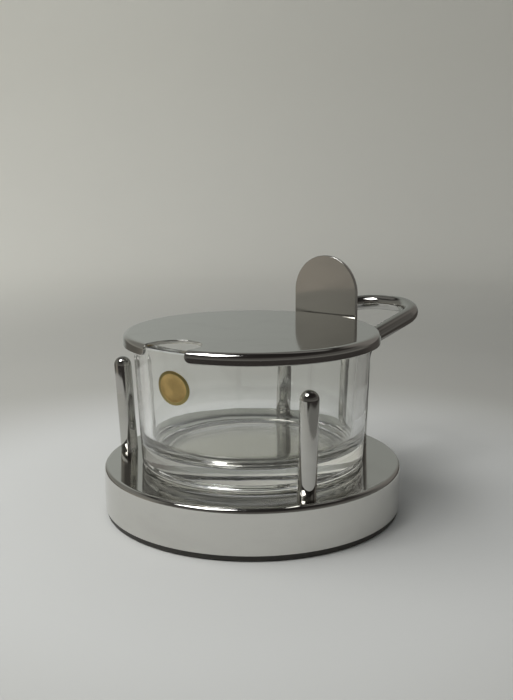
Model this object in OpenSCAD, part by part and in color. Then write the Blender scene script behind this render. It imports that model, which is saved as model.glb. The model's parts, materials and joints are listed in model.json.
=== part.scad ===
// Honey pot with a hinged lid. A tapered glass pot stands on a polished steel tray, between two posts
// and the two legs of a bent rod handle. A steel lid with a spoon notch swings on a pin between the
// legs, and a thumb tab behind it opens it.
//
// Millimetres, +Z up. The origin is the centre of the underside, the handle points towards +Y and the
// spoon notch towards -Y. Left and right are as seen from the notch.

/* [Glass pot] */
// Outer diameter of the pot at its rim
pot_rim_d = 83; // [70:0.5:100]
// Height of the pot
pot_h = 45; // [36:0.5:60]
// Angle by which the pot's wall leans outwards
pot_lean = 2.9; // [1:0.1:6]
// Thickness of the pot's wall
pot_wall = 4.2; // [3:0.1:6]
// Thickness of the pot's solid floor
pot_floor = 8; // [5:0.1:12]
// Inside rounding between the wall and the floor
pot_corner_r = 7; // [3:0.5:12]
// Outside rounding of the foot
pot_heel_r = 2; // [1:0.1:3]
// Rounding of the rim's two edges
pot_lip_r = 1.6; // [0.8:0.1:2]
// Depth of the shallow hollow under the pot
pot_hollow = 0.8; // [0.4:0.1:1.5]
// Width of the ring that the pot stands on
pot_ring_w = 7; // [4:0.5:12]

/* [Tray] */
// Height of the tray's top face above the table
tray_h = 17.2; // [14:0.2:26]
// Width of the tray outside the posts
tray_margin = 3.5; // [3:0.1:10]
// Thickness of the tray's sheet
tray_sheet = 1; // [0.6:0.1:1.5]
// Rounding of the tray's top edge
tray_edge_r = 1.6; // [1.2:0.1:2.8]

/* [Foot pad] */
// Thickness of the pad that shows under the tray
pad_t = 2; // [1.5:0.1:4]
// Distance of the pad's edge inside the tray's wall
pad_inset = 0.5; // [0.3:0.1:0.7]
// Height of the pad's rim inside the tray
pad_rim_h = 3; // [2:0.5:6]
// Thickness of the pad's rim
pad_rim_t = 2; // [1.5:0.1:4]
// Clearance between the pad's rim and the tray's wall
pad_fit = 0.1; // [0.05:0.05:0.2]

/* [Rods] */
// Diameter of the posts and of the handle rod
rod_d = 6.2; // [5:0.1:8]
// Gap between the glass and the posts
rod_gap = 3.6; // [1.5:0.1:6]
// Straight length of a post, under its domed end
post_len = 32.1; // [20:0.5:45]
// Angle of each post round the pot, from the spoon notch
post_angle = 61; // [40:1:80]

/* [Handle] */
// Distance between the axes of the handle's two legs
leg_spacing = 35; // [30:0.5:44]
// Radius of the bend at the top of each leg, on the rod's axis
bend_r = 9; // [7:0.5:14]
// Angle by which the handle rises towards its end
handle_rise = 10; // [0:1:20]
// Distance that the handle reaches beyond the lid's edge
handle_out = 49.5; // [44:0.5:70]
// Straight length at the handle's end, between its two corners
handle_flat = 4.2; // [2:0.1:10]

/* [Lid] */
// Distance that the lid reaches beyond the pot's rim
lid_overhang = 3.25; // [2.5:0.05:4.5]
// Height of the lid from its top face to its lower edge
lid_h = 4.1; // [3.6:0.1:7]
// Thickness of the lid's sheet
lid_sheet = 1.2; // [0.8:0.1:1.6]
// Rounding of the lid's edge
lid_edge_r = 2; // [1.4:0.1:3]
// Gap between the lid's sheet and the pot's rim
lid_gap = 0.3; // [0.1:0.05:0.6]
// Width of the spoon notch
notch_w = 19.6; // [12:0.2:26]
// Depth of the spoon notch from the lid's edge
notch_depth = 14.8; // [12:0.2:22]
// Rounding of the lid's lower corners beside the notch
notch_corner_r = 2.2; // [0.8:0.1:2.6]

/* [Thumb tab and hinge] */
// Height of the thumb tab above the lid
tab_h = 22.3; // [18:0.1:30]
// Thickness of the thumb tab's plate
tab_t = 1.5; // [1.2:0.1:1.8]
// Gap between the thumb tab and each leg
tab_side_gap = 0.3; // [0.25:0.05:0.8]
// Depth to which the thumb tab is let into the lid's edge
tab_seat = 0.5; // [0.3:0.05:0.7]
// Height of the hinge pin's axis below the lid's lower edge
hinge_drop = 6; // [5:0.1:8]
// Diameter of the hinge pin
pin_d = 3; // [2.5:0.1:3.5]
// Running clearance round the hinge pin
pin_fit = 0.05; // [0.02:0.01:0.1]
// Clearance between the hinge pin and its holes in the legs
pin_seat_fit = 0.02; // [0.01:0.01:0.05]
// Distance that the pin's domed ends stand out of the legs
pin_proud = 0.4; // [0.2:0.1:0.8]
// Gap between the rolled edge and the plate of the thumb tab
seam_gap = 0.4; // [0.2:0.05:0.8]

/* [Fixings] */
// Diameter of the screws under the posts and legs
screw_d = 3; // [2.5:0.1:4]
// Length of each screw inside its rod
screw_bite = 8; // [5:0.5:14]
// Diameter of the screw heads
screw_head_d = 5.6; // [4.5:0.1:7]
// Height of the screw heads
screw_head_h = 2; // [1.5:0.1:3]
// Width across the flats of the sockets in the screw heads
screw_key = 2; // [1.5:0.1:2.5]
// Depth of those sockets
screw_key_depth = 1.2; // [0.8:0.1:1.4]
// Clearance round the screws in their threads
thread_fit = 0.05; // [0.02:0.01:0.1]
// Clearance round the screws in the tray and the washers
screw_fit = 0.2; // [0.1:0.05:0.4]
// Outer diameter of the washers
washer_d = 9; // [7.5:0.1:9.5]
// Thickness of the washers
washer_t = 0.8; // [0.5:0.1:1.2]

/* [Hidden] */

$fn = 96;
rod_fn = 48;
arc_steps = 10;
// Length by which a cutting shape stands clear of what it cuts
cut_over = 2;
steel = [0.76, 0.76, 0.74];
screw_steel = [0.55, 0.56, 0.57];
glass = [0.86, 0.91, 0.9, 0.45];
pad_black = [0.09, 0.09, 0.1];

pot_top_z = tray_h + pot_h;
pot_foot_r = pot_rim_d / 2 - pot_h * tan(pot_lean);

rod_r = rod_d / 2;
rod_circle_r = pot_foot_r + rod_gap + rod_r;
leg_y = sqrt(rod_circle_r * rod_circle_r - leg_spacing * leg_spacing / 4);
tray_r = rod_circle_r + rod_r + tray_margin;
rod_feet = [for (side = [-1, 1]) [side * rod_circle_r * sin(post_angle), -rod_circle_r * cos(post_angle)],
            for (side = [-1, 1]) [side * leg_spacing / 2, leg_y]];

lid_r = pot_rim_d / 2 + lid_overhang;
lid_top_z = pot_top_z + lid_gap + lid_sheet;
lid_low_z = lid_top_z - lid_h;

pin_bore_r = pin_d / 2 + pin_fit;
knuckle_r = pin_bore_r + tab_t;
knuckle_wrap = 180 + acos((seam_gap - pin_bore_r) / knuckle_r);
tab_front_y = lid_r - tab_seat;
tab_w = leg_spacing - rod_d - 2 * tab_side_gap;
tab_top_z = lid_top_z + tab_h;
hinge_y = tab_front_y + knuckle_r;
hinge_z = lid_low_z - hinge_drop;
pin_len = leg_spacing + rod_d + 2 * pin_proud;

// The hinge pin crosses the bend of each leg on the rod's axis. These are its distances along the leg
// and out from the leg, and they give the straight length under the bend.
hinge_along = (hinge_y - leg_y) * sin(pot_lean) + (hinge_z - tray_h) * cos(pot_lean);
hinge_out = (hinge_y - leg_y) * cos(pot_lean) - (hinge_z - tray_h) * sin(pot_lean);
leg_len = hinge_along - sqrt(hinge_out * (2 * bend_r - hinge_out));
bend_angle = 90 - pot_lean - handle_rise;
bend_end_y = leg_y + leg_len * sin(pot_lean) + bend_r * (cos(pot_lean) - sin(handle_rise));
bend_end_z = tray_h + leg_len * cos(pot_lean) + bend_r * (cos(handle_rise) - sin(pot_lean));
corner_r = (leg_spacing - handle_flat) / 2;
loop_end_y = lid_r + handle_out - rod_r;
arm_len = (loop_end_y - bend_end_y) / cos(handle_rise) - corner_r;

// Points on an arc about a centre, from one angle to another
function arc(centre, r, from, to) =
    [for (i = [0:arc_steps]) let (a = from + (to - from) * i / arc_steps) centre + r * [cos(a), sin(a)]];

// Distance from the axis of a point at height z that lies so deep inside the pot's outer wall
function wall_x(z, depth) = pot_foot_r + ((z - tray_h) * sin(pot_lean) - depth) / cos(pot_lean);

// Outer outline of a round pressed cup that opens downwards, from its lower edge to its axis
function cup_outline(r, low, high, edge_r) =
    concat([[r, low]], arc([r - edge_r, high - edge_r], edge_r, 0, 90), [[0, high]]);

// Pressed cup of even sheet, as the tray and the lid are
module pressed_cup(r, low, high, edge_r, sheet) {
    inner_r = max(edge_r - sheet, 0.2);
    inner = cup_outline(r - sheet, low, high - sheet, inner_r);
    rotate_extrude()
        polygon(concat(cup_outline(r, low, high, edge_r), [for (i = [len(inner) - 1:-1:0]) inner[i]]));
}

module foot_pad() {
    rim_outer_r = tray_r - tray_sheet - pad_fit;
    rim_inner_r = rim_outer_r - pad_rim_t;
    color(pad_black) {
        cylinder(r = tray_r - pad_inset, h = pad_t);
        translate([0, 0, pad_t])
            rotate_extrude()
                translate([rim_inner_r, 0])
                    square([pad_rim_t, pad_rim_h]);
    }
}

module tray() {
    color(steel)
        difference() {
            pressed_cup(tray_r, pad_t, tray_h, tray_edge_r, tray_sheet);
            for (foot = rod_feet)
                translate([foot.x, foot.y, tray_h - tray_sheet - cut_over])
                    cylinder(d = screw_d + 2 * screw_fit, h = tray_sheet + 2 * cut_over);
        }
}

// Takes away what lies under the tray's top face at a rod's foot, and drills it for its screw
module rod_foot_cut() {
    translate([0, 0, -rod_d])
        cylinder(r = rod_d, h = rod_d);
    translate([0, 0, -cut_over])
        cylinder(d = screw_d + 2 * thread_fit, h = screw_bite + 2 * cut_over);
}

module front_post(side) {
    color(steel)
        rotate([0, 0, side * post_angle])
            translate([0, -rod_circle_r, tray_h])
                difference() {
                    rotate([pot_lean, 0, 0]) {
                        translate([0, 0, -rod_r])
                            cylinder(d = rod_d, h = post_len + rod_r);
                        translate([0, 0, post_len])
                            sphere(d = rod_d);
                    }
                    rod_foot_cut();
                }
}

module front_post_left() {
    front_post(-1);
}

module front_post_right() {
    front_post(1);
}

// Core inside the rod where two of its stretches meet end to end, which keeps them one solid
module rod_core() {
    sphere(d = rod_r);
}

// One half of the handle, from its foot up the leg, round the bend and along the arm to the middle of
// the loop's end. Each stretch starts in the frame in which the one before it ends.
module handle_half() {
    rotate([-pot_lean, 0, 0]) {
        translate([0, 0, -rod_r])
            cylinder(d = rod_d, h = leg_len + rod_r);
        translate([0, 0, leg_len])
            rod_core();
        translate([0, bend_r, leg_len]) {
            rotate([90, 0, -90])
                rotate_extrude(angle = bend_angle)
                    translate([bend_r, 0])
                        circle(d = rod_d);
            rotate([-bend_angle, 0, 0])
                translate([0, -bend_r, 0]) {
                    rod_core();
                    cylinder(d = rod_d, h = arm_len);
                    translate([0, 0, arm_len])
                        rod_core();
                    translate([-corner_r, 0, arm_len]) {
                        rotate([90, 0, 0])
                            rotate_extrude(angle = 90)
                                translate([corner_r, 0])
                                    circle(d = rod_d);
                        translate([0, 0, corner_r])
                            rod_core();
                        translate([-handle_flat / 2, 0, corner_r])
                            rotate([0, 90, 0])
                                cylinder(d = rod_d, h = handle_flat / 2);
                    }
                }
        }
    }
}

module handle_rod() {
    $fn = rod_fn;
    color(steel)
        difference() {
            union() {
                for (side = [0, 1])
                    mirror([side, 0, 0])
                        translate([leg_spacing / 2, leg_y, tray_h])
                            difference() {
                                handle_half();
                                rod_foot_cut();
                            }
                translate([0, loop_end_y, bend_end_z + (arm_len + corner_r) * sin(handle_rise)])
                    rotate([0, 90, 0])
                        cylinder(d = rod_r, h = handle_flat / 2, center = true);
            }
            translate([-pin_len, hinge_y, hinge_z])
                rotate([0, 90, 0])
                    cylinder(d = pin_d + 2 * pin_seat_fit, h = 2 * pin_len);
        }
}

module rod_screw() {
    head_top_z = tray_h - tray_sheet - washer_t;
    translate([0, 0, head_top_z])
        cylinder(d = screw_d, h = tray_sheet + washer_t + screw_bite);
    difference() {
        translate([0, 0, head_top_z - screw_head_h])
            cylinder(d = screw_head_d, h = screw_head_h);
        translate([0, 0, head_top_z - screw_head_h - cut_over])
            cylinder(d = screw_key / cos(30), h = screw_key_depth + cut_over, $fn = 6);
    }
}

module rod_screws() {
    color(screw_steel)
        for (foot = rod_feet)
            translate([foot.x, foot.y, 0])
                rod_screw();
}

module screw_washers() {
    color(screw_steel)
        for (foot = rod_feet)
            translate([foot.x, foot.y, tray_h - tray_sheet - washer_t])
                difference() {
                    cylinder(d = washer_d, h = washer_t);
                    translate([0, 0, -cut_over])
                        cylinder(d = screw_d + 2 * screw_fit, h = washer_t + 2 * cut_over);
                }
}

module glass_pot() {
    ring_in_r = pot_foot_r - pot_heel_r - pot_ring_w;
    heel_z = tray_h + pot_heel_r;
    lip_z = pot_top_z - pot_lip_r;
    corner_z = tray_h + pot_floor + pot_corner_r;
    heel = arc([wall_x(heel_z, pot_heel_r), heel_z], pot_heel_r, -90, -pot_lean);
    lip_out = arc([wall_x(lip_z, pot_lip_r), lip_z], pot_lip_r, -pot_lean, 90);
    lip_in = arc([wall_x(lip_z, pot_wall - pot_lip_r), lip_z], pot_lip_r, 90, 180 - pot_lean);
    corner = arc([wall_x(corner_z, pot_wall + pot_corner_r), corner_z], pot_corner_r, -pot_lean, -90);
    hollow = [[0, tray_h + pot_hollow], [ring_in_r - pot_hollow, tray_h + pot_hollow], [ring_in_r, tray_h]];
    color(glass)
        rotate_extrude()
            polygon(concat(hollow, heel, lip_out, lip_in, corner, [[0, tray_h + pot_floor]]));
}

// The lid's outer form without its hollow
module lid_form() {
    rotate_extrude()
        polygon(concat([[0, lid_low_z]], cup_outline(lid_r, lid_low_z, lid_top_z, lid_edge_r)));
}

// The spoon notch, as seen from above
module notch_outline() {
    centre_y = -lid_r + notch_depth - notch_w / 2;
    translate([0, centre_y])
        circle(d = notch_w);
    translate([-notch_w / 2, -lid_r - cut_over])
        square([notch_w, centre_y + lid_r + cut_over]);
}

// What is cut from one lower corner of the lid beside the notch to round it
module notch_corner_cut() {
    translate([notch_w / 2, -lid_r + notch_depth / 2, lid_low_z])
        rotate([90, 0, 0])
            linear_extrude(notch_depth)
                difference() {
                    translate([-cut_over, -cut_over])
                        square(notch_corner_r + cut_over);
                    translate([notch_corner_r, notch_corner_r])
                        circle(r = notch_corner_r);
                }
}

module lid() {
    color(steel)
        difference() {
            pressed_cup(lid_r, lid_low_z, lid_top_z, lid_edge_r, lid_sheet);
            translate([0, 0, lid_low_z - cut_over])
                linear_extrude(lid_h + 2 * cut_over)
                    notch_outline();
            notch_corner_cut();
            mirror([1, 0, 0])
                notch_corner_cut();
        }
}

// The lower end of the thumb tab, rolled round the hinge pin
module knuckle() {
    translate([0, hinge_y, hinge_z])
        rotate([-90, 0, -90])
            rotate_extrude(angle = knuckle_wrap)
                translate([pin_bore_r, -tab_w / 2])
                    square([tab_t, tab_w]);
}

module thumb_tab() {
    color(steel) {
        difference() {
            translate([0, tab_front_y + tab_t, 0])
                rotate([90, 0, 0])
                    linear_extrude(tab_t) {
                        translate([-tab_w / 2, hinge_z])
                            square([tab_w, tab_top_z - tab_w / 2 - hinge_z]);
                        translate([0, tab_top_z - tab_w / 2])
                            circle(d = tab_w);
                    }
            lid_form();
        }
        knuckle();
    }
}

module hinge_pin() {
    dome_r = (pin_d * pin_d / 4 + pin_proud * pin_proud) / (2 * pin_proud);
    dome_x = pin_len / 2 - dome_r;
    edge_a = acos(pin_d / 2 / dome_r);
    color(screw_steel)
        translate([0, hinge_y, hinge_z])
            rotate([0, 90, 0])
                rotate_extrude()
                    polygon(concat(arc([0, dome_x], dome_r, 90, edge_a),
                                   arc([0, -dome_x], dome_r, -edge_a, -90)));
}

foot_pad();
tray();
front_post_left();
front_post_right();
handle_rod();
rod_screws();
screw_washers();
glass_pot();
lid();
thumb_tab();
hinge_pin();
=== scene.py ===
import json
from math import acos, asin, ceil, copysign, cos, pi, radians, sin, sqrt, tan

import bmesh
import bpy
from mathutils import Matrix, Vector


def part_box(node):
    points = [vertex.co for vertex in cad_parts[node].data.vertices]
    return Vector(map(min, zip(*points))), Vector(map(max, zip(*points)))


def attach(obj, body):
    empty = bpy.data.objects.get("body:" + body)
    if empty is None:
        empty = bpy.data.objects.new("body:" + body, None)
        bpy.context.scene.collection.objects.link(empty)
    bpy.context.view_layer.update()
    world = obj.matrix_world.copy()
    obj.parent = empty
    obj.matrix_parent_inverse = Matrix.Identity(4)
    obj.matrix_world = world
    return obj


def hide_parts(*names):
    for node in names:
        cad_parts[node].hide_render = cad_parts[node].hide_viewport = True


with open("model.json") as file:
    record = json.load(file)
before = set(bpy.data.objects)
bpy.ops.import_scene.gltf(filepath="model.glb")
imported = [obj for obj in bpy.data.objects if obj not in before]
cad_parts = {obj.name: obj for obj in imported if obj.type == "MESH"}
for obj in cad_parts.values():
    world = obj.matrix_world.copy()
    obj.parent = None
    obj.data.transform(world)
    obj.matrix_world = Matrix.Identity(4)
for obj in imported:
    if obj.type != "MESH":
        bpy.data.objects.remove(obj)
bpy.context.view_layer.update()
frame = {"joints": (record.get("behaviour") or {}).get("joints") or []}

bl_info = {
    "name": "Honey pot with hinged lid",
    "version": (1, 0, 0),
    "blender": (4, 5, 0),
    "location": "View3D > Sidebar > Honey pot",
    "description": "Builds the steel and glass honey pot round its packed frame",
    "category": "Object",
}

MM = 0.001
TURN = 2 * pi
# Angle between two points of a rounded edge
ARC_STEP = radians(7.5)
# Distance from a rounding at which an extra point holds the flat beside it flat
HOLD = 0.12 * MM
# Points nearer than this are joined
JOIN = 1e-6

# Sides of the round forms
SIDES_TURNED = 192
SIDES_GLASS = 256
SIDES_ROD = 64
SIDES_PIN = 64
SIDES_FIXING = 48
SIDES_FOIL = 72
SIDES_STAGE = 128
# Steps along the bends of the handle, the domes of the posts and the curves of the sheet pieces
STEPS_BEND = 24
STEPS_LOOP = 36
STEPS_DOME = 16
STEPS_NOTCH = 40
STEPS_TAB = 48
SECTIONS_RIM = 220

TRAY_LOW, TRAY_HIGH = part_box("tray")
POT_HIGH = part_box("glass_pot")[1]
LID_LOW, LID_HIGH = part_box("lid")
TAB_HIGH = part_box("thumb_tab")[1]
PIN_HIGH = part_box("hinge_pin")[1]
HINGE = Vector(frame["joints"][0]["pos_m"])

# Middle of the foil oval on the glass, and half its size
FOIL_AZIMUTH = radians(1.5)
FOIL_SIDE = 1.0 * MM
FOIL_HEIGHT = 50.2 * MM
FOIL_HALF_WIDE = 6.7 * MM
FOIL_HALF_TALL = 5.65 * MM

# Camera of the photograph: its place, the way it looks, its roll and its lens
EYE = Vector((0.1972, -0.2393, 0.1172))
LOOK_AZIMUTH = radians(39.2)
LOOK_DOWN = radians(11.155)
ROLL = -0.0042
LENS = 46.29
# To the right of the pot as the camera sees it, and to the back
RIGHT = Vector((cos(LOOK_AZIMUTH), sin(LOOK_AZIMUTH), 0))
BACK = Vector((-sin(LOOK_AZIMUTH), cos(LOOK_AZIMUTH), 0))

# Each lamp's degrees round from the camera's side, degrees up, distance, size and watts
KEY_LAMP = (-55, 60, 0.85, 0.38, 3.4)
FILL_LAMP = (-95, 42, 0.95, 0.8, 4.4)
LAMP_AIM = 0.04
SKY = (0.95, 0.97, 1.0)
SKY_STRENGTH = 0.46
# Bounces of light that the thick glass floor over the steel needs
GLOSSY_BOUNCES = 12
GLASS_BOUNCES = 16
ALL_BOUNCES = 24

# Outlines of the floor with its backdrop, and of the glowing card round the pot that only the
# steel sees, which paints the room's reflection in it
COVE = [(0, 0), (0.95, 0, 0.3), (1.05, 0.9)]
CARD = [(0.155, 0.002), (0.62, 0.002, 0.06), (0.62, 1.0, 0.1), (0.01, 1.0)]
CARD_SHIFT = -0.03
# Painted reflection shades of the room on that card, a pair of them from left to right,
TABLE_LIT = (0.5, 0.5, 0.48), (0.207, 0.207, 0.195)
BACK_WALL = (0.37, 0.385, 0.36), (0.28, 0.29, 0.27)
# from low to high,
WINDOW_WALL = (0.25, 0.245, 0.22), (0.2, 0.197, 0.18)
FRONT_WALL = (0.092, 0.088, 0.082), (0.03, 0.027, 0.025)
# from near to far,
FRONT_FLOOR = (0.038, 0.034, 0.032), (0.15, 0.145, 0.135)
# or from the front to the back
LEFT_FLOOR = (0.285, 0.262, 0.226), (0.112, 0.107, 0.094)
OVERHEAD = (0.02, 0.018, 0.017), (0.19, 0.185, 0.175)
# One shade all over: two painted reflection shades on the card, the painted shade of the backdrop
# high up, and the colour of the backdrop's random mottle
RIGHT_WALL = (0.19, 0.178, 0.165)
RIGHT_FLOOR = (0.07, 0.064, 0.058)
HIGH_PAPER_PAINTED_DARK = (0.07, 0.07, 0.067)
PAPER_MOTTLE = (0.5, 0.5, 0.48)


# ---- sizes and colours


def length(name, description, default):
    return bpy.props.FloatProperty(
        name=name, description=description, default=default, min=0,
        unit="LENGTH", subtype="DISTANCE",
    )


def angle(name, description, degrees):
    return bpy.props.FloatProperty(
        name=name, description=description, default=radians(degrees),
        unit="ROTATION", subtype="ANGLE",
    )


def colour(name, description, default):
    return bpy.props.FloatVectorProperty(
        name=name, description=description, default=default, min=0, max=1, size=3, subtype="COLOR"
    )


class HoneyPotSizes(bpy.types.PropertyGroup):
    """Sizes of the pot's pieces"""

    lean: angle("Lean", "Angle by which the glass, the posts and the legs lean outwards", 2.9)
    pot_rim_r: length("Pot rim", "Outer radius of the glass pot at its rim", 0.0415)
    pot_wall: length("Pot wall", "Thickness of the glass wall", 0.0042)
    pot_floor: length("Pot floor", "Thickness of the solid glass floor", 0.0059)
    pot_corner_r: length("Pot corner", "Inside rounding between the wall and the floor", 0.007)
    pot_heel_r: length("Pot heel", "Outside rounding of the foot", 0.002)
    pot_lip_r: length("Pot lip", "Rounding of the rim's two edges", 0.0008)
    pot_hollow: length("Pot hollow", "Depth of the shallow hollow under the pot", 0.0008)
    pot_ring_w: length("Pot ring", "Width of the ring that the pot stands on", 0.007)
    tray_sheet: length("Tray sheet", "Thickness of the tray's sheet", 0.001)
    tray_edge_r: length("Tray edge", "Rounding of the tray's top edge", 0.0016)
    pad_inset: length("Pad inset", "Distance of the pad's edge inside the tray's wall", 0.0005)
    pad_rim_h: length("Pad rim height", "Height of the pad's rim inside the tray", 0.003)
    pad_rim_t: length("Pad rim", "Thickness of the pad's rim", 0.002)
    pad_fit: length("Pad fit", "Clearance between the pad's rim and the tray's wall", 0.0001)
    rod_d: length("Rod diameter", "Diameter of the posts and of the handle rod", 0.0062)
    rod_gap: length("Rod gap", "Gap between the glass and the posts", 0.0036)
    post_len: length("Post length", "Straight length of a post, under its domed end", 0.0321)
    post_angle: angle("Post angle", "Angle of each post round the pot, from the spoon notch", 61)
    leg_spacing: length("Leg spacing", "Distance between the axes of the handle's two legs", 0.035)
    bend_r: length("Bend radius", "Radius of the bend at the top of each leg", 0.009)
    handle_rise: angle("Handle rise", "Angle by which the handle rises towards its end", 10)
    handle_out: length("Handle reach", "Reach of the handle beyond the lid's edge", 0.0495)
    handle_flat: length("Handle flat", "Straight length at the handle's end", 0.0042)
    lid_sheet: length("Lid sheet", "Thickness of the lid's sheet", 0.0012)
    lid_edge_r: length("Lid edge", "Rounding of the lid's edge", 0.0022)
    notch_w: length("Notch width", "Width of the spoon notch", 0.0178)
    notch_depth: length("Notch depth", "Depth of the spoon notch from the lid's edge", 0.0148)
    notch_corner_r: length("Notch corners", "Rounding of the rim beside the notch", 0.0022)
    tab_t: length("Tab thickness", "Thickness of the thumb tab's plate", 0.0015)
    pin_d: length("Pin diameter", "Diameter of the hinge pin", 0.003)
    pin_fit: length("Pin fit", "Running clearance round the hinge pin", 0.00005)
    pin_proud: length("Pin ends", "Height of the pin's domed ends outside the legs", 0.0004)
    seam_gap: length("Seam gap", "Gap between the rolled edge and the plate of the tab", 0.0004)
    screw_d: length("Screw diameter", "Diameter of the screws under the posts and legs", 0.003)
    screw_bite: length("Screw bite", "Length of each screw inside its rod", 0.008)
    screw_head_d: length("Screw heads", "Diameter of the screw heads", 0.0056)
    screw_head_h: length("Screw head height", "Height of the screw heads", 0.002)
    screw_key: length("Screw key", "Width across the flats of the sockets in the heads", 0.002)
    screw_key_depth: length("Screw key depth", "Depth of those sockets", 0.0012)
    screw_fit: length("Screw fit", "Clearance round the screws in the washers", 0.0002)
    washer_d: length("Washer diameter", "Outer diameter of the washers", 0.009)
    washer_t: length("Washer thickness", "Thickness of the washers", 0.0008)


class HoneyPotColours(bpy.types.PropertyGroup):
    """Colours of the pot and of what it stands on"""

    steel: colour("Polished steel", "Base colour of the polished steel", (0.66, 0.65, 0.62))
    fixing: colour("Fixing steel", "Base colour of the screws, washers and pin", (0.5, 0.5, 0.49))
    glass: colour("Glass", "Tint of the clear glass", (0.988, 0.996, 0.988))
    pad: colour("Foot pad", "Colour of the foot pad", (0.025, 0.023, 0.019))
    foil: colour("Foil", "Colour of the foil oval", (0.67, 0.48, 0.2))
    floor: colour("Floor", "Colour of the floor round the pot", (0.577, 0.582, 0.561))
    backdrop: colour("Backdrop", "Colour of the backdrop", (0.42, 0.415, 0.38))


def sizes():
    return bpy.context.scene.honey_pot_sizes


def colours():
    return bpy.context.scene.honey_pot_colours


# ---- node trees


class Wire:
    """One output of a node. Python's operators on it add the Math nodes that they name."""

    def __init__(self, tree, socket=None):
        self.tree = tree
        self.socket = socket

    def add(self, kind, settings=None, inputs=None, out=0):
        """Adds a node, sets it, fills its sockets with values or wires, and gives one output."""
        node = self.tree.nodes.new(kind)
        for name, value in (settings or {}).items():
            setattr(node, name, value)
        for key, value in (inputs or {}).items():
            if isinstance(value, Wire):
                self.tree.links.new(value.socket, node.inputs[key])
            else:
                node.inputs[key].default_value = value
        return Wire(self.tree, node.outputs[out]) if len(node.outputs) else None

    def other(self, out):
        """Another output of the same node."""
        return Wire(self.tree, self.socket.node.outputs[out])

    def maths(self, operation, *values):
        """A Math node, or a Vector Math node where one of the values is a vector."""
        kind = "ShaderNodeMath"
        if any(isinstance(v, Wire) and v.socket.type == "VECTOR" for v in values):
            kind = "ShaderNodeVectorMath"
            values = [v if isinstance(v, (Wire, tuple)) else (v, v, v) for v in values]
        return self.add(kind, {"operation": operation}, dict(enumerate(values)))

    def __add__(self, other):
        return self.maths("ADD", self, other)

    def __radd__(self, other):
        return self.maths("ADD", other, self)

    def __sub__(self, other):
        return self.maths("SUBTRACT", self, other)

    def __rsub__(self, other):
        return self.maths("SUBTRACT", other, self)

    def __mul__(self, other):
        return self.maths("MULTIPLY", self, other)

    def __rmul__(self, other):
        return self.maths("MULTIPLY", other, self)

    def __truediv__(self, other):
        return self.maths("DIVIDE", self, other)

    def __rtruediv__(self, other):
        return self.maths("DIVIDE", other, self)

    def __pow__(self, other):
        return self.maths("POWER", self, other)

    def __neg__(self):
        return self.maths("MULTIPLY", self, -1)

    def sin(self):
        return self.maths("SINE", self)

    def cos(self):
        return self.maths("COSINE", self)

    def floor(self):
        return self.maths("FLOOR", self)

    def size(self):
        return self.maths("ABSOLUTE", self)

    def at_least(self, other):
        return self.maths("MAXIMUM", self, other)

    def at_most(self, other):
        return self.maths("MINIMUM", self, other)

    def smooth(self, low, high):
        """0 below low, 1 above high and an even curve between."""
        return self.add(
            "ShaderNodeMapRange",
            {"interpolation_type": "SMOOTHSTEP"},
            {"Value": self, "From Min": low, "From Max": high},
        )

    def blend(self, below, above):
        """A colour between two, by this value."""
        inputs = {0: self, 6: below, 7: above}
        return self.add("ShaderNodeMix", {"data_type": "RGBA"}, inputs, out=2)

    def parts(self):
        split = self.add("ShaderNodeSeparateXYZ", inputs={0: self})
        return split, split.other(1), split.other(2)

    def joined(self, x, y, z):
        return self.add("ShaderNodeCombineXYZ", inputs={0: x, 1: y, 2: z})

    def noise(self, scale, detail, roughness, stretch=None, **more):
        """Noise at this place, which may be stretched along the axes."""
        place = self * stretch if stretch else self
        inputs = {"Vector": place, "Scale": scale, "Detail": detail, "Roughness": roughness}
        return self.add("ShaderNodeTexNoise", inputs={**inputs, **more})

    def bump(self, strength, distance, **more):
        """The normal of a surface with this height on it."""
        inputs = {"Height": self, "Strength": strength, "Distance": distance, **more}
        return self.add("ShaderNodeBump", inputs=inputs)


def rgba(shade, share=1):
    return (*(c * share for c in shade), 1.0)


# ---- materials


def new_material(name):
    """A material with an empty tree, and a wire from the places on the object."""
    made = bpy.data.materials.new(name)
    made.use_nodes = True
    made.node_tree.nodes.clear()
    return made, Wire(made.node_tree).add("ShaderNodeTexCoord", out="Object")


def end_material(made, inputs, kind="ShaderNodeBsdfPrincipled"):
    shader = Wire(made.node_tree).add(kind, inputs=inputs)
    shader.add("ShaderNodeOutputMaterial", inputs={"Surface": shader})
    return made


def polished_steel(name, shade=1.0, smudge=0.05, base_roughness=0.07):
    """Mirror-polished steel with soft smudges, hairline wiping marks and slow waves."""
    made, place = new_material(name)
    smears = place.noise(55.0, 4.0, 0.6, stretch=(1, 1, 2.2), Distortion=0.7).smooth(0.42, 0.72)
    dust = place.noise(900.0, 2.0, 0.5).smooth(0.66, 0.78)
    hairs = place.noise(1500.0, 2.0, 0.6, stretch=(1, 0.03, 0.2))
    hairs_across = place.noise(1500.0, 2.0, 0.6, stretch=(0.04, 1, 0.5))
    waves = place.noise(38.0, 1.0, 0.4)
    roughness = base_roughness + smears * smudge + dust * 0.06 + hairs * 0.02
    steel = colours().steel
    normal = waves.bump(0.12, 0.0004)
    normal = (hairs + hairs_across).bump(0.05, 0.00004, Normal=normal)
    return end_material(made, {
        "Base Color": (smears * 0.6).blend(rgba(steel, shade), rgba(steel, shade * 0.93)),
        "Metallic": 1.0,
        "Roughness": roughness,
        "Normal": normal,
    })


def clear_glass(name):
    """Clear pressed glass, with the slow waves of its mould and a few faint wiping marks."""
    made, place = new_material(name)
    waves = place.noise(60.0, 2.0, 0.5, stretch=(1, 1, 1.6))
    marks = place.noise(240.0, 5.0, 0.7, Distortion=1.0).smooth(0.62, 0.8)
    return end_material(made, {
        "Base Color": rgba(colours().glass),
        "Roughness": 0.004 + marks * 0.05,
        "IOR": 1.52,
        "Transmission Weight": 1.0,
        "Normal": waves.bump(0.1, 0.0005),
    })


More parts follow.
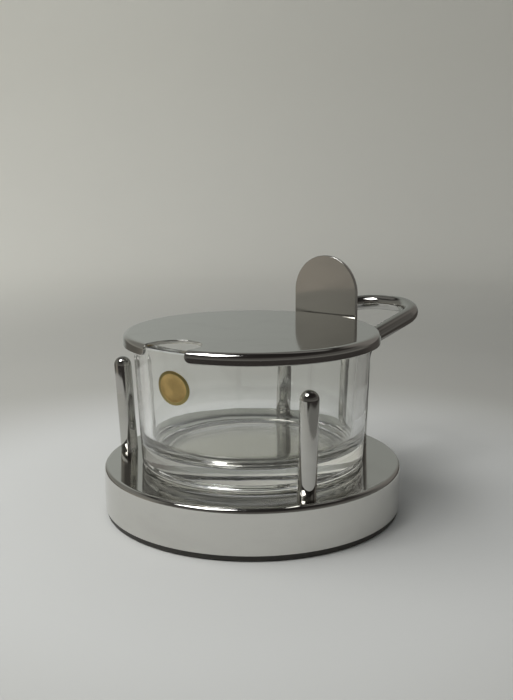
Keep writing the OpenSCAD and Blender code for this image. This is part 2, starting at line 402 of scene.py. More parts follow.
def pad_black(name):
    """Black moulded plastic with a fine grain and rubbed edges."""
    made, place = new_material(name)
    grain = place.add("ShaderNodeTexVoronoi", inputs={"Vector": place, "Scale": 1600.0})
    rub = place.noise(120.0, 4.0, 0.6).smooth(0.45, 0.75)
    black = colours().pad
    return end_material(made, {
        "Base Color": rub.blend(rgba(black), rgba(black, 1.9)),
        "Roughness": 0.5 + rub * 0.18,
        "Normal": grain.bump(0.3, 0.00006),
    })


def fixing_steel(name):
    """Turned steel with fine tool lines and a dull bloom."""
    made, place = new_material(name)
    lines = place.noise(2600.0, 2.0, 0.6, stretch=(0.05, 1, 1))
    bloom = place.noise(300.0, 4.0, 0.6)
    steel = colours().fixing
    return end_material(made, {
        "Base Color": bloom.blend(rgba(steel), rgba(steel, 0.8)),
        "Metallic": 1.0,
        "Roughness": 0.24 + bloom * 0.16,
        "Normal": lines.bump(0.25, 0.00003),
    })


def gold_foil(name):
    """Gold foil with the small creases it gets on curved glass."""
    made, place = new_material(name)
    x, _, z = (place - (FOIL_SIDE, 0, FOIL_HEIGHT)).parts()
    share = ((x / FOIL_HALF_WIDE) ** 2 + (z / FOIL_HALF_TALL) ** 2) ** 0.5
    creases = place.noise(700.0, 4.0, 0.6, Distortion=1.4)
    tone = place.noise(260.0, 2.0, 0.5).smooth(0.35, 0.7)
    gold = colours().foil
    rim = (gold[0] * 0.5, gold[1] * 0.6, gold[2] * 0.6)
    base = share.smooth(0.8, 0.86).blend(rgba(gold), rgba(rim))
    return end_material(made, {
        "Base Color": (tone * 0.5).blend(base, rgba(gold, 0.6)),
        "Metallic": 1.0,
        "Roughness": 0.34 + creases * 0.14,
        "Normal": creases.bump(0.2, 0.0001),
    })


# Each slot of the record, with the name of its finish and what makes it
FINISHES = {
    "polished_steel": ("mirror_steel", polished_steel),
    "pot_glass": ("pressed_glass", clear_glass),
    "pad_black": ("black_moulding", pad_black),
    "fixing_steel": ("turned_steel", fixing_steel),
}


def finish_of(slot):
    """The material for one of the record's slots, made once."""
    name, maker = FINISHES[slot]
    return bpy.data.materials.get(name) or maker(name)


# ---- outlines and meshes


def steps_to(span, count, first=0):
    """Even steps from 0, or from the first step, to a span."""
    return [span * i / count for i in range(first, count + 1)]


def rounded(corners, hold=HOLD):
    """Points of an open outline whose corners (x, z, r) are rounded to their radii."""
    points = [Vector(corners[0][:2])]
    for before, (x, z, r), after in zip(corners, corners[1:], corners[2:]):
        here = Vector((x, z))
        back, on = Vector(before[:2]) - here, Vector(after[:2]) - here
        half = back.angle(on) / 2
        reach = r / tan(half)
        centre = here + (back.normalized() + on.normalized()).normalized() * (r / sin(half))
        start = here + back.normalized() * reach - centre
        turn = copysign(pi - 2 * half, back.x * on.y - back.y * on.x) * -1
        steps = max(3, ceil(abs(turn) / ARC_STEP))
        if back.length - reach > 4 * hold:
            points.append(here + back.normalized() * (reach + hold))
        for a in steps_to(turn, steps):
            c, s = cos(a), sin(a)
            points.append(centre + Vector((start.x * c - start.y * s, start.x * s + start.y * c)))
        if on.length - reach > 4 * hold:
            points.append(here + on.normalized() * (reach + hold))
    points.append(Vector(corners[-1][:2]))
    return points


def new_object(name, data):
    made = bpy.data.objects.new(name, data)
    bpy.context.scene.collection.objects.link(made)
    return made


def mesh_object(name, points, faces):
    mesh = bpy.data.meshes.new(name)
    mesh.from_pydata([tuple(p) for p in points], [], faces)
    return new_object(name, mesh)


def ring_faces(rings, sides):
    """Faces between rings of points that follow each other, each ring closed."""
    faces = []
    for k in range(rings - 1):
        for i in range(sides):
            j = (i + 1) % sides
            faces.append((k * sides + i, k * sides + j, (k + 1) * sides + j, (k + 1) * sides + i))
    return faces


def ringed(name, rings, sides):
    """A form of rings (reach, height) round the Z axis. A reach may be a rule of the angle."""
    points = []
    for reach, z in rings:
        for i in range(sides):
            a = TURN * i / sides
            d = reach(a) if callable(reach) else reach
            points.append((d * cos(a), d * sin(a), z))
    return mesh_object(name, points, ring_faces(len(rings), sides))


def face_outwards(mesh, join=JOIN / 10):
    """Joins the points that meet, turns the faces outwards and shades them smooth."""
    form = bmesh.new()
    form.from_mesh(mesh)
    bmesh.ops.remove_doubles(form, verts=form.verts, dist=join)
    bmesh.ops.dissolve_degenerate(form, edges=form.edges, dist=join)
    bmesh.ops.recalc_face_normals(form, faces=form.faces)
    for face in form.faces:
        face.smooth = True
    form.to_mesh(mesh)
    form.free()


def apply_modifiers(made):
    """Turns what the object's modifiers make into its own plain mesh."""
    deps = bpy.context.evaluated_depsgraph_get()
    mesh = bpy.data.meshes.new_from_object(
        made.evaluated_get(deps), preserve_all_data_layers=True, depsgraph=deps
    )
    made.modifiers.clear()
    made.data = mesh
    mesh.name = made.name


def soften(made, width, segments=2, above=40):
    """Rounds the edges sharper than an angle, and keeps the large flats flat in the light."""
    edge = made.modifiers.new("edge", "BEVEL")
    edge.width = width
    edge.segments = segments
    edge.limit_method = "ANGLE"
    edge.angle_limit = radians(above)
    edge.use_clamp_overlap = False
    weigh(made)


def weigh(made):
    normals = made.modifiers.new("normals", "WEIGHTED_NORMAL")
    normals.mode = "FACE_AREA"
    normals.weight = 100
    apply_modifiers(made)


def settle(made, body, slot, *nodes):
    """Gives a finished piece the material of its slot and its body, and hides the CAD nodes that
    it stands for.
    """
    if not made.data.materials:
        made.data.materials.append(finish_of(slot))
    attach(made, body)
    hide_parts(*nodes)
    return made


# ---- geometry nodes


def new_tree(name, *inputs):
    """A geometry tree, and wires from its geometry, its named inputs and its material."""
    tree = bpy.data.node_groups.new(name, "GeometryNodeTree")
    face = tree.interface
    for label, kind, default in (
        ("Geometry", "Geometry", None),
        *inputs,
        ("Material", "Material", None),
    ):
        socket = face.new_socket(label, in_out="INPUT", socket_type="NodeSocket" + kind)
        if default is not None:
            socket.default_value = default
    face.new_socket("Geometry", in_out="OUTPUT", socket_type="NodeSocketGeometry")
    source = tree.nodes.new("NodeGroupInput")
    wires = {s.name: Wire(tree, s) for s in source.outputs if s.name}
    return tree, wires


def end_tree(tree, geometry, material, joined=True):
    if joined:
        geometry = geometry.add(
            "GeometryNodeMergeByDistance", inputs={"Geometry": geometry, "Distance": JOIN}
        )
        geometry = geometry.add("GeometryNodeSetShadeSmooth", inputs={"Geometry": geometry})
    real = geometry.add("GeometryNodeRealizeInstances", inputs={"Geometry": geometry})
    painted = real.add("GeometryNodeSetMaterial", inputs={"Geometry": real, "Material": material})
    painted.add("NodeGroupOutput", inputs={0: painted})
    return tree


def grow(name, tree, points, edges, values, attributes=None):
    """The plain mesh that a geometry tree makes of some points and edges."""
    seed = bpy.data.meshes.new(name + "_seed")
    seed.from_pydata([tuple(p) for p in points], edges, [])
    for label, numbers in (attributes or {}).items():
        seed.attributes.new(label, "FLOAT", "POINT").data.foreach_set("value", numbers)
    made = new_object(name, seed)
    modifier = made.modifiers.new(tree.name, "NODES")
    modifier.node_group = tree
    for item in tree.interface.items_tree:
        if item.in_out == "INPUT" and item.name in values:
            modifier[item.identifier] = values[item.name]
    apply_modifiers(made)
    # The grid's own empty slot goes, and leaves the one that the tree set
    made.data.materials.clear()
    made.data.materials.append(values["Material"])
    made.data.polygons.foreach_set("material_index", [0] * len(made.data.polygons))
    return made


def turned_tree():
    """Turns the points of an outline, x out and z up, round the Z axis."""
    tree, put = new_tree("turned_form", ("Sides", "Int", SIDES_TURNED))
    outline = put["Geometry"]
    size = {"component": "MESH"}, {"Geometry": outline}
    count = outline.add("GeometryNodeAttributeDomainSize", *size, out="Point Count")
    columns = put["Sides"] + 1
    grid = outline.add("GeometryNodeMeshGrid", inputs={"Vertices X": count, "Vertices Y": columns})
    index = outline.add("GeometryNodeInputIndex")
    # The small share keeps a whole quotient from falling to the number under it
    row = (index / columns + 1e-4).floor()
    turn = (index - row * columns) / put["Sides"] * TURN
    place = outline.add("GeometryNodeInputPosition")
    point = outline.add(
        "GeometryNodeSampleIndex",
        {"data_type": "FLOAT_VECTOR", "domain": "POINT"},
        {"Geometry": outline, "Value": place, "Index": row},
    )
    x, _, z = point.parts()
    spun = outline.joined(x * turn.cos(), x * turn.sin(), z)
    form = grid.add("GeometryNodeSetPosition", inputs={"Geometry": grid, "Position": spun})
    return end_tree(tree, form, put["Material"])


def rod_tree():
    """Draws a round rod along a path, as thick as its girth says and cut level at its foot."""
    tree, put = new_tree(
        "rod_on_path",
        ("Rod diameter", "Float", 6.2 * MM),
        ("Sides", "Int", SIDES_ROD),
        ("Foot height", "Float", 0.0),
    )
    path = put["Geometry"].add("GeometryNodeMeshToCurve", inputs={"Mesh": put["Geometry"]})
    girth = path.add("GeometryNodeInputNamedAttribute", {"data_type": "FLOAT"}, {"Name": "girth"})
    ring = path.add(
        "GeometryNodeCurvePrimitiveCircle",
        {"mode": "RADIUS"},
        {"Resolution": put["Sides"], "Radius": put["Rod diameter"] / 2},
    )
    rod = path.add(
        "GeometryNodeCurveToMesh",
        inputs={"Curve": path, "Profile Curve": ring, "Scale": girth, "Fill Caps": True},
    )
    place = rod.add("GeometryNodeInputPosition")
    x, y, z = place.parts()
    level = rod.joined(x, y, z.at_least(put["Foot height"]))
    rod = rod.add("GeometryNodeSetPosition", inputs={"Geometry": rod, "Position": level})
    return end_tree(tree, rod, put["Material"])


def scatter_tree():
    """Sets a copy of one fixing on each point."""
    tree, put = new_tree("fixing_on_points", ("Fixing", "Object", None))
    fixing = put["Fixing"]
    fixing = fixing.add("GeometryNodeObjectInfo", inputs={"Object": fixing}, out="Geometry")
    inputs = {"Points": put["Geometry"], "Instance": fixing}
    copies = fixing.add("GeometryNodeInstanceOnPoints", inputs=inputs)
    return end_tree(tree, copies, put["Material"], joined=False)


def tree_of(name, maker):
    return bpy.data.node_groups.get(name) or maker()


def turned(name, outline, material, sides=SIDES_TURNED):
    points = [(p.x, 0, p.y) for p in outline]
    values = {"Sides": sides, "Material": material}
    made = grow(name, tree_of("turned_form", turned_tree), points, [], values)
    face_outwards(made.data)
    return made


def rod(name, path, girths, material, foot):
    edges = [(i, i + 1) for i in range(len(path) - 1)]
    values = {"Rod diameter": sizes().rod_d, "Foot height": foot, "Material": material}
    made = grow(name, tree_of("rod_on_path", rod_tree), path, edges, values, {"girth": girths})
    face_outwards(made.data)
    return made


# ---- places on the frame


def glass_foot_r():
    """Outer radius of the glass at the height of the tray."""
    s = sizes()
    return s.pot_rim_r - (POT_HIGH.z - TRAY_HIGH.z) * tan(s.lean)


def rod_circle_r():
    """Radius on which the posts and the legs stand."""
    return glass_foot_r() + sizes().rod_gap + sizes().rod_d / 2


def leg_y():
    return sqrt(rod_circle_r() ** 2 - sizes().leg_spacing ** 2 / 4)


def rod_feet():
    s, r = sizes(), rod_circle_r()
    fronts = [(side * r * sin(s.post_angle), -r * cos(s.post_angle)) for side in (-1, 1)]
    return fronts + [(side * s.leg_spacing / 2, leg_y()) for side in (-1, 1)]


def handle_path():
    """Centre line of the handle from one foot to the other."""
    s = sizes()
    lean_y, lean_z = sin(s.lean), cos(s.lean)
    out_y, up_z = HINGE.y - leg_y(), HINGE.z - TRAY_HIGH.z
    along = out_y * lean_y + up_z * lean_z
    out = out_y * lean_z - up_z * lean_y
    leg = along - sqrt(out * (2 * s.bend_r - out))
    bend = pi / 2 - s.lean - s.handle_rise

    def leaned(away, up):
        return Vector((
            s.leg_spacing / 2,
            leg_y() + away * lean_z + up * lean_y,
            TRAY_HIGH.z - away * lean_y + up * lean_z,
        ))

    half = [leaned(0, -s.rod_d / 4)] + [leaned(0, up) for up in steps_to(leg, 8)]
    for a in steps_to(bend, STEPS_BEND, 1):
        half.append(leaned(s.bend_r * (1 - cos(a)), leg + s.bend_r * sin(a)))
    rise = Vector((0, cos(s.handle_rise), sin(s.handle_rise)))
    corner_r = (s.leg_spacing - s.handle_flat) / 2
    arm = (LID_HIGH.x + s.handle_out - s.rod_d / 2 - half[-1].y) / rise.y - corner_r
    half += [half[-1] + rise * out for out in steps_to(arm, 6, 1)]
    centre = half[-1] - Vector((corner_r, 0, 0))
    for a in steps_to(pi / 2, STEPS_LOOP, 1):
        half.append(centre + Vector((cos(a) * corner_r, 0, 0)) + rise * (sin(a) * corner_r))
    return half + [Vector((-p.x, p.y, p.z)) for p in reversed(half)]


# ---- pieces


class HONEYPOT_OT_tray(bpy.types.Operator):
    """Makes the pressed steel tray and the pad under it"""

    bl_idname = "honey_pot.tray"
    bl_label = "Tray and foot pad"

    def execute(self, context):
        s = sizes()
        r, high, low, t = TRAY_HIGH.x, TRAY_HIGH.z, TRAY_LOW.z, s.tray_sheet
        lip = 0.25 * MM
        cup = rounded([
            (0, high), (r, high, s.tray_edge_r), (r, low, lip), (r - t, low, lip),
            (r - t, high - t, s.tray_edge_r - t), (0, high - t),
        ])
        tray = turned("tray_shell", cup, finish_of("polished_steel"))
        settle(tray, "stand", "polished_steel", "tray")
        pad_r = r - s.pad_inset
        rim_out = r - t - s.pad_fit
        rim_in = rim_out - s.pad_rim_t
        top = low + s.pad_rim_h
        edge = 0.3 * MM
        pad = turned(
            "foot_pad_moulding",
            rounded([
                (0, 0), (pad_r, 0, 0.6 * MM), (pad_r, low, edge / 2), (rim_out, low, edge / 2),
                (rim_out, top, edge), (rim_in, top, edge), (rim_in, low, edge), (0, low),
            ], hold=HOLD / 4),
            finish_of("pad_black"),
        )
        settle(pad, "stand", "pad_black", "foot_pad")
        return {"FINISHED"}


class HONEYPOT_OT_glass(bpy.types.Operator):
    """Makes the tapered glass pot with its thick floor"""

    bl_idname = "honey_pot.glass"
    bl_label = "Glass pot"

    def execute(self, context):
        s = sizes()
        low, high = TRAY_HIGH.z, POT_HIGH.z
        across, foot_r = s.pot_wall / cos(s.lean), glass_foot_r()
        ring_in = foot_r - s.pot_heel_r - s.pot_ring_w
        inner = low + s.pot_floor
        soft = 0.5 * MM
        outline = rounded([
            (0, low + s.pot_hollow),
            (ring_in - s.pot_hollow, low + s.pot_hollow, soft),
            (ring_in, low, soft),
            (foot_r, low, s.pot_heel_r),
            (s.pot_rim_r, high, s.pot_lip_r),
            (s.pot_rim_r - across, high, s.pot_lip_r),
            (foot_r + s.pot_floor * tan(s.lean) - across, inner, s.pot_corner_r),
            (0, inner),
        ])
        pot = turned("glass_pot_body", outline, finish_of("pot_glass"), sides=SIDES_GLASS)
        settle(pot, "stand", "pot_glass", "glass_pot")
        return {"FINISHED"}


class HONEYPOT_OT_rods(bpy.types.Operator):
    """Makes the two front posts and the bent rod of the handle"""

    bl_idname = "honey_pot.rods"
    bl_label = "Posts and handle rod"

    def execute(self, context):
        s = sizes()
        foot = TRAY_HIGH.z
        # Painted shade: a darker copy of the polished steel makes the posts and the handle look
        # darker
        steel = polished_steel("drawn_rod_steel", shade=0.8)
        path = handle_path()
        settle(
            rod("handle_rod_bent", path, [1.0] * len(path), steel, foot),
            "stand", "polished_steel", "handle_rod",
        )
        heights = [-s.rod_d / 4] + steps_to(s.post_len, 6)
        girths = [1.0] * len(heights)
        for a in steps_to(pi / 2, STEPS_DOME, 1):
            heights.append(s.post_len + sin(a) * s.rod_d / 2)
            girths.append(max(cos(a), 0))
        for side, word in ((-1, "left"), (1, "right")):
            out = Vector((side * sin(s.post_angle), -cos(s.post_angle), 0))
            axis = out * sin(s.lean) + Vector((0, 0, cos(s.lean)))
            start = out * rod_circle_r() + Vector((0, 0, foot))
            post = rod("post_" + word, [start + axis * h for h in heights], girths, steel, foot)
            settle(post, "stand", "polished_steel", "front_post_" + word)
        return {"FINISHED"}


class HONEYPOT_OT_lid(bpy.types.Operator):
    """Makes the pressed steel lid with its spoon notch"""

    bl_idname = "honey_pot.lid"
    bl_label = "Lid"

    def execute(self, context):
        s = sizes()
        r, high, low, half = LID_HIGH.x, LID_HIGH.z, LID_LOW.z, s.notch_w / 2
        flat_r = r - s.lid_edge_r
        # Distances from the notch at which the rim has its first sections, round its corner
        offsets = [x * s.notch_corner_r for x in (0, 0.14, 0.28, 0.45, 0.63, 0.82, 1)]
        first = [asin((half + x) / r) - asin(half / r) for x in offsets]
        span = TURN - 2 * asin(half / r)
        rest = span - 2 * first[-1]
        middle = [first[-1] + rest * i / SECTIONS_RIM for i in range(1, SECTIONS_RIM)]
        shares = [a / span for a in first + middle + [span - a for a in reversed(first)]]

        def side_low(x):
            inside = s.notch_corner_r - (abs(x) - half)
            if inside <= 0:
                return low
            return low + s.notch_corner_r - sqrt(max(s.notch_corner_r ** 2 - inside ** 2, 0))

        def section(share, deep):
            """Points down the rim at one place, deep inside the lid's outer surface."""
            edge = s.lid_edge_r - deep
            top = high - deep
            bend = edge * pi / 2
            outer = flat_r + edge

            def place(t):
                if t < bend:
                    a = t / edge
                    return flat_r + edge * sin(a), top - edge * (1 - cos(a))
                return outer, top - edge - (t - bend)

            def at(t):
                reach, z = place(t)
                start = asin(half / reach)
                a = start + share * (TURN - 2 * start)
                return Vector((reach * sin(a), -reach * cos(a), z))

            bottom = side_low(at(bend).x)
            if bottom > top - edge:
                length_down = edge * acos(1 - (top - bottom) / edge)
            else:
                length_down = bend + top - edge - bottom
            full = bend + top - edge - low
            stations = steps_to(bend, 12)
            stations += [bend + (full - bend) * share_down for share_down in (0.06, 0.5, 0.8, 1)]
            return [at(t * length_down / full) for t in stations]

        outer = [section(share, 0) for share in shares]
        inner = [section(share, s.lid_sheet) for share in shares]
        rows, columns = len(outer[0]), len(outer)
        centre_y = -r + s.notch_depth - half
        start_y = -sqrt(flat_r ** 2 - half ** 2)
        notch = [(-half, (start_y + centre_y) / 2)]
        for a in steps_to(pi, STEPS_NOTCH):
            notch.append((-half * cos(a), centre_y + half * sin(a)))
        notch.append((half, (start_y + centre_y) / 2))
        points = [p for side in (outer, inner) for column in side for p in column]
        points += [Vector((x, y, z)) for z in (high, high - s.lid_sheet) for x, y in notch]

        def rim(side, column, row):
            return (side * columns + column) * rows + row

        def cut(side, i):
            return 2 * rows * columns + side * len(notch) + i

        faces = []
        for side in (0, 1):
            for c in range(columns - 1):
                for row in range(rows - 1):
                    faces.append((
                        rim(side, c, row), rim(side, c + 1, row),
                        rim(side, c + 1, row + 1), rim(side, c, row + 1),
                    ))
            arc = [rim(side, c, 0) for c in range(columns)]
            faces.append(arc + [cut(side, i) for i in range(len(notch))])
        last = rows - 1
        for c in range(columns - 1):
            d = c + 1
            faces.append((rim(0, c, last), rim(0, d, last), rim(1, d, last), rim(1, c, last)))
        for row in range(last):
            under = row + 1
            for c in (0, columns - 1):
                faces.append((rim(0, c, row), rim(0, c, under), rim(1, c, under), rim(1, c, row)))
        loop = [(columns - 1, None)] + [(None, i) for i in range(len(notch))] + [(0, None)]
        ids = [
            [rim(side, c, 0) if i is None else cut(side, i) for c, i in loop] for side in (0, 1)
        ]
        for i in range(len(loop) - 1):
            faces.append((ids[0][i], ids[0][i + 1], ids[1][i + 1], ids[1][i]))
        lid = mesh_object("lid_shell", points, faces)
        face_outwards(lid.data)
        soften(lid, 0.14 * MM)
        settle(lid, "lid", "polished_steel", "lid")
        return {"FINISHED"}


class HONEYPOT_OT_tab(bpy.types.Operator):
    """Makes the thumb tab with its lower end rolled round the hinge pin"""

    bl_idname = "honey_pot.tab"
    bl_label = "Thumb tab"

    def execute(self, context):
        s = sizes()
        half = TAB_HIGH.x
        bore = s.pin_d / 2 + s.pin_fit
        wrap = pi + acos((s.seam_gap - bore) / (bore + s.tab_t))
        centre_z = TAB_HIGH.z - half
        outline = [(half, HINGE.z)]
        for a in steps_to(pi, STEPS_TAB):
            outline.append((half * cos(a), centre_z + half * sin(a)))
        outline.append((-half, HINGE.z))
        front, back = HINGE.y - bore - s.tab_t, HINGE.y - bore
        points = [Vector((x, y, z)) for y in (front, back) for x, z in outline]
        n = len(outline)
        faces = [list(range(n)), list(range(n, 2 * n))]
        faces += [(i, i + 1, n + i + 1, n + i) for i in range(n - 1)]
        base = len(points)
        # Each turn of the roll: right and left outside, then right and left inside
        for turn in steps_to(wrap, STEPS_TAB):
            a = pi + turn
            for reach in (bore + s.tab_t, bore):
                for x in (half, -half):
                    points.append(Vector((x, HINGE.y + reach * cos(a), HINGE.z + reach * sin(a))))
        for i in range(STEPS_TAB):
            k, m = base + 4 * i, base + 4 * i + 4
            faces += [(k, k + 1, m + 1, m), (k + 2, k + 3, m + 3, m + 2),
                      (k, k + 2, m + 2, m), (k + 1, k + 3, m + 3, m + 1)]
        last = base + 4 * STEPS_TAB
        faces.append((last, last + 1, last + 3, last + 2))
        tab = mesh_object("thumb_tab_plate", points, faces)
        face_outwards(tab.data)
        soften(tab, 0.18 * MM, segments=3)
        settle(tab, "lid", "polished_steel", "thumb_tab")
        return {"FINISHED"}


class HONEYPOT_OT_fixings(bpy.types.Operator):
    """Makes the hinge pin, and the screws and washers under the posts and legs"""

    bl_idname = "honey_pot.fixings"
    bl_label = "Pin, screws and washers"

    def execute(self, context):
        s = sizes()
        steel = finish_of("fixing_steel")
        self.pin(steel)
        seat = TRAY_HIGH.z - s.tray_sheet - s.washer_t
        hole, out = s.screw_d / 2 + s.screw_fit, s.washer_d / 2
        middle, top = seat + s.washer_t / 2, seat + s.washer_t
        inside, outside = 0.1 * MM, 0.2 * MM
        washer = turned("washer_pattern", rounded([
            (hole, middle), (hole, seat, inside), (out, seat, outside),
            (out, top, outside), (hole, top, inside), (hole, middle),
        ], hold=HOLD / 4), steel, sides=SIDES_FIXING)
        screw = self.screw(seat)
        for name, pattern, node in (
            ("foot_washers", washer, "screw_washers"),
            ("foot_screws", screw, "rod_screws"),
        ):
            feet = [(x, y, 0) for x, y in rod_feet()]
            tree = tree_of("fixing_on_points", scatter_tree)
            made = grow(name, tree, feet, [], {"Fixing": pattern, "Material": steel})
            bpy.data.objects.remove(pattern)
            settle(made, "stand", "fixing_steel", node)
        return {"FINISHED"}

    def pin(self, steel):
        s = sizes()
        end = PIN_HIGH.x
        dome_r = (s.pin_d ** 2 / 4 + s.pin_proud ** 2) / (2 * s.pin_proud)
        rise = asin(s.pin_d / 2 / dome_r)
        cap = [Vector((dome_r * sin(a), end - dome_r * (1 - cos(a)))) for a in steps_to(rise, 8)]
        edge = cap[-1].y
        body = [Vector((s.pin_d / 2, edge - HOLD)), Vector((s.pin_d / 2, HOLD - edge))]
        outline = cap + body + [Vector((p.x, -p.y)) for p in reversed(cap)]
        made = turned("hinge_pin_turned", outline, steel, sides=SIDES_PIN)
        made.data.transform(Matrix.Translation(HINGE) @ Matrix.Rotation(pi / 2, 4, "Y"))
        weigh(made)
        settle(made, "stand", "fixing_steel", "hinge_pin")

    def screw(self, seat):
        """A socket screw with its thread, turned section by section round its axis."""
        s = sizes()
        pitch, depth = 0.5 * MM, 0.25 * MM
        root = s.screw_d / 2 - depth
        head_r, head_low = s.screw_head_d / 2, seat - s.screw_head_h
        chamfer = 0.2 * MM
        top = seat + s.washer_t + s.tray_sheet + s.screw_bite
        key = s.screw_key / 2

        def hexagon(a):
            return key / cos((a + pi / 6) % (pi / 3) - pi / 6)

        def thread(z):
            def reach(a):
                wave = abs(((z / pitch - a / TURN) % 1) - 0.5) * 2
                return root + depth * wave
            return reach

        rings = [(0, head_low + s.screw_key_depth), (hexagon, head_low + s.screw_key_depth),
                 (hexagon, head_low), (head_r - chamfer, head_low), (head_r, head_low + chamfer),
                 (head_r, seat - chamfer), (head_r - chamfer, seat), (s.screw_d / 2, seat)]
        per_turn = 6
        z = seat + 0.3 * MM
        while z < top - 0.4 * MM:
            rings.append((thread(z), z))
            z += pitch / per_turn
        rings += [(root, top - 0.3 * MM), (root - 0.3 * MM, top), (0, top)]
        made = ringed("screw_pattern", rings, SIDES_FIXING)
        face_outwards(made.data, join=JOIN)
        made.data.set_sharp_from_angle(angle=radians(35))
        return made


class HONEYPOT_OT_foil(bpy.types.Operator):
    """Makes the plain foil oval on the front of the glass"""

    bl_idname = "honey_pot.foil"
    bl_label = "Foil oval"

    def execute(self, context):
        lean = sizes().lean
        lift, thick = 0.02 * MM, 0.09 * MM
        # Shares of the oval's size, and how far each ring stands out of the glass
        rings = [(0, 1), (0.5, 1), (0.78, 1), (0.8, 1.35), (0.84, 1.35), (0.86, 1),
                 (0.985, 1), (1, 0.7), (1, 0)]
        points = []
        for share, out in rings:
            proud = (lift + thick * out) / cos(lean)
            for i in range(SIDES_FOIL):
                a = TURN * i / SIDES_FOIL
                up = FOIL_HEIGHT + FOIL_HALF_TALL * share * sin(a)
                r = glass_foot_r() + (up - TRAY_HIGH.z) * tan(lean) + proud
                turn = FOIL_AZIMUTH + FOIL_HALF_WIDE * share * cos(a) / r
                points.append((r * sin(turn), -r * cos(turn), up))
        faces = ring_faces(len(rings), SIDES_FOIL)
        faces.append([len(points) - SIDES_FOIL + i for i in range(SIDES_FOIL)])
        made = mesh_object("foil_oval", points, faces)
        face_outwards(made.data)
        made.data.materials.append(gold_foil("foil_gold"))
        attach(made, "stand")
        return {"FINISHED"}


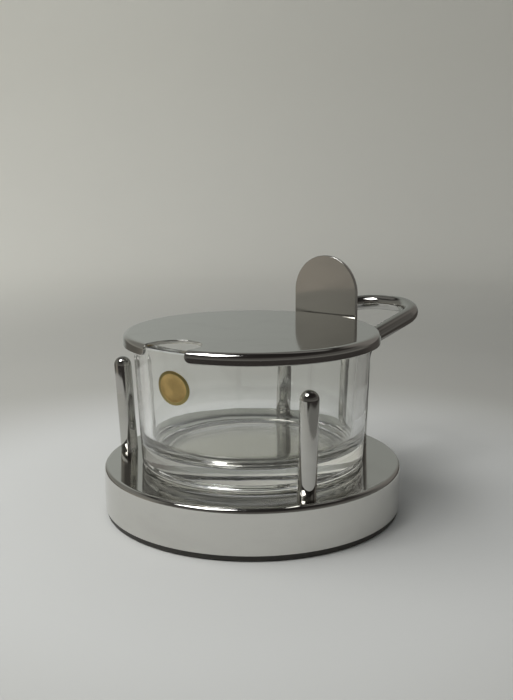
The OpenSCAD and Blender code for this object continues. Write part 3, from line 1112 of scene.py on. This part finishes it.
class HONEYPOT_OT_stage(bpy.types.Operator):
    """Makes the pale floor and backdrop with their painted shade and light, the soft lamps, the
    glowing card with the painted reflection of the room, and the camera
    """

    bl_idname = "honey_pot.stage"
    bl_label = "Stage, lamps and camera"

    def execute(self, context):
        self.cove()
        self.lamps()
        self.room()
        self.world()
        self.camera()
        return {"FINISHED"}

    def bowl(self, name, outline, material):
        """A wide round form open to the inside, such as the floor with its backdrop."""
        made = ringed(name, outline, SIDES_STAGE)
        face_outwards(made.data)
        made.data.flip_normals()
        made.data.materials.append(material)
        return made

    def cove(self):
        """A round floor that turns up into a backdrop on all sides, with painted shade that
        darkens it to the right and high up, and painted light that makes the far backdrop paler.
        """
        made, place = new_material("cove_paper")
        x, y, z = place.parts()
        reach = (x * x + y * y) ** 0.5
        right = x * RIGHT.x + y * RIGHT.y
        floor, paper = colours().floor, colours().backdrop
        # Painted shade: the floor and the backdrop darken towards the right, and painted light
        # makes the far backdrop paler than the near
        across = right.smooth(-0.45, 0.5)
        near = right.smooth(-0.22, 0.3).blend(rgba(floor), rgba(floor, 0.8))
        wall = across.blend(rgba(paper), rgba(paper, 0.72))
        far = across.blend(rgba(paper, 1.76), rgba(paper, 1.2))
        tone = reach.smooth(0.1, 0.21).blend(near, reach.smooth(0.3, 0.85).blend(wall, far))
        # Painted shade: the backdrop goes dark high up
        tone = z.smooth(0.4, 0.62).blend(tone, rgba(HIGH_PAPER_PAINTED_DARK))
        mottle = place.noise(14.0, 3.0, 0.5)
        fibre = place.noise(1400.0, 2.0, 0.6)
        end_material(made, {
            "Base Color": (mottle * 0.1).blend(tone, rgba(PAPER_MOTTLE)),
            "Roughness": 0.85,
            "Specular IOR Level": 0.2,
            "Normal": fibre.bump(0.1, 0.0001),
        })
        self.bowl("cove", rounded(COVE, hold=0.01), made)

    def lamp(self, name, round_by, up_by, distance, size, watts):
        """A square lamp that faces the pot."""
        light = bpy.data.lights.new(name, "AREA")
        light.shape = "SQUARE"
        light.size = size
        light.energy = watts
        made = new_object(name, light)
        a, up = LOOK_AZIMUTH + radians(round_by), radians(up_by)
        way = Vector((sin(a) * cos(up), -cos(a) * cos(up), sin(up)))
        made.location = way * distance + Vector((0, 0, LAMP_AIM))
        made.rotation_euler = way.to_track_quat("Z", "Y").to_euler()
        made.visible_camera = False
        return made

    def lamps(self):
        self.lamp("key", *KEY_LAMP)
        fill = self.lamp("fill", *FILL_LAMP)
        fill.visible_glossy = False
        fill.visible_transmission = False

    def room(self):
        """A glowing card, seen only in the steel, that paints the reflection of the room beyond
        the table, dark towards the camera.
        """
        made, place = new_material("room_card")
        x, y, z = place.parts()
        reach = (x * x + y * y) ** 0.5
        back = (x * BACK.x + y * BACK.y) / reach
        right = (x * RIGHT.x + y * RIGHT.y) / reach
        at_left = (-right).smooth(0, 0.2) * back.smooth(-0.5, -0.2)
        at_right = right.smooth(0, 0.2) * back.smooth(0.15, 0.6)

        def between(mask, shades):
            return mask.blend(*(rgba(shade) for shade in shades))

        low = between(reach.smooth(0.33, 0.6), FRONT_FLOOR)
        low = at_left.blend(low, between(back.smooth(-0.1, 0.5), LEFT_FLOOR))
        low = at_right.blend(low, rgba(RIGHT_FLOOR))
        wall = between(z.smooth(0.28, 0.4), FRONT_WALL)
        wall = at_left.blend(wall, between(z.smooth(0.15, 0.24), WINDOW_WALL))
        wall = at_right.blend(wall, rgba(RIGHT_WALL))
        # The painted reflection of the lit table ends nearer straight in front, where the camera
        # stands, than beside it
        edge = (reach - right.size().at_most(0.35) * 0.11).smooth(0.16, 0.172)
        low = edge.blend(between(right.smooth(-0.4, 0.4), TABLE_LIT), low)
        tone = z.smooth(0.06, 0.12).blend(low, wall)
        tone = back.smooth(0.75, 0.95).blend(tone, between(right.smooth(-0.3, 0.3), BACK_WALL))
        # Painted reflection: dark overhead, and paler high up at the back
        high = z.smooth(0.75, 0.9) * reach.smooth(0.2, 0.42) * back.smooth(0, 0.5)
        tone = z.smooth(0.5, 0.75).blend(tone, between(high, OVERHEAD))
        end_material(made, {"Color": tone, "Strength": 1.0}, "ShaderNodeEmission")
        card = self.bowl("room_card", rounded(CARD, hold=0.02), made)
        # The painted lit part of the table reaches further to the left than to the right
        card.location = RIGHT * CARD_SHIFT
        card.visible_camera = False
        card.visible_diffuse = False
        card.visible_transmission = False
        card.visible_shadow = False

    def world(self):
        world = bpy.data.worlds.new("studio")
        world.use_nodes = True
        world.node_tree.nodes.clear()
        inputs = {"Color": rgba(SKY), "Strength": SKY_STRENGTH}
        sky = Wire(world.node_tree).add("ShaderNodeBackground", inputs=inputs)
        sky.add("ShaderNodeOutputWorld", inputs={"Surface": sky})
        bpy.context.scene.world = world

    def camera(self):
        data = bpy.data.cameras.new("camera")
        data.lens = LENS
        data.sensor_width = 36
        data.clip_start = 0.01
        made = new_object("camera", data)
        look = BACK * cos(LOOK_DOWN) - Vector((0, 0, sin(LOOK_DOWN)))
        up = RIGHT.cross(look)
        right = RIGHT * cos(ROLL) + up * sin(ROLL)
        up = up * cos(ROLL) - RIGHT * sin(ROLL)
        turn = Matrix((right, up, -look)).transposed().to_4x4()
        made.matrix_world = Matrix.Translation(EYE) @ turn
        scene = bpy.context.scene
        scene.camera = made
        scene.view_settings.view_transform = "Standard"
        scene.cycles.glossy_bounces = GLOSSY_BOUNCES
        scene.cycles.transmission_bounces = GLASS_BOUNCES
        scene.cycles.max_bounces = ALL_BOUNCES


OPERATORS = (
    HONEYPOT_OT_stage,
    HONEYPOT_OT_tray,
    HONEYPOT_OT_glass,
    HONEYPOT_OT_rods,
    HONEYPOT_OT_lid,
    HONEYPOT_OT_tab,
    HONEYPOT_OT_fixings,
    HONEYPOT_OT_foil,
)


class HONEYPOT_PT_panel(bpy.types.Panel):
    """Lists the pot's sizes, colours and pieces"""

    bl_idname = "HONEYPOT_PT_panel"
    bl_label = "Honey pot"
    bl_space_type = "VIEW_3D"
    bl_region_type = "UI"
    bl_category = "Honey pot"

    def draw(self, context):
        layout = self.layout
        for group in (context.scene.honey_pot_sizes, context.scene.honey_pot_colours):
            box = layout.box()
            for name in group.__annotations__:
                box.prop(group, name)
        for operator in OPERATORS:
            layout.operator(operator.bl_idname)


CLASSES = (HoneyPotSizes, HoneyPotColours, *OPERATORS, HONEYPOT_PT_panel)


def register():
    for cls in CLASSES:
        bpy.utils.register_class(cls)
    bpy.types.Scene.honey_pot_sizes = bpy.props.PointerProperty(type=HoneyPotSizes)
    bpy.types.Scene.honey_pot_colours = bpy.props.PointerProperty(type=HoneyPotColours)


def unregister():
    del bpy.types.Scene.honey_pot_sizes
    del bpy.types.Scene.honey_pot_colours
    for cls in reversed(CLASSES):
        bpy.utils.unregister_class(cls)


def main():
    register()
    for operator in OPERATORS:
        group, name = operator.bl_idname.split(".")
        getattr(getattr(bpy.ops, group), name)()


if __name__ == "__main__":
    main()
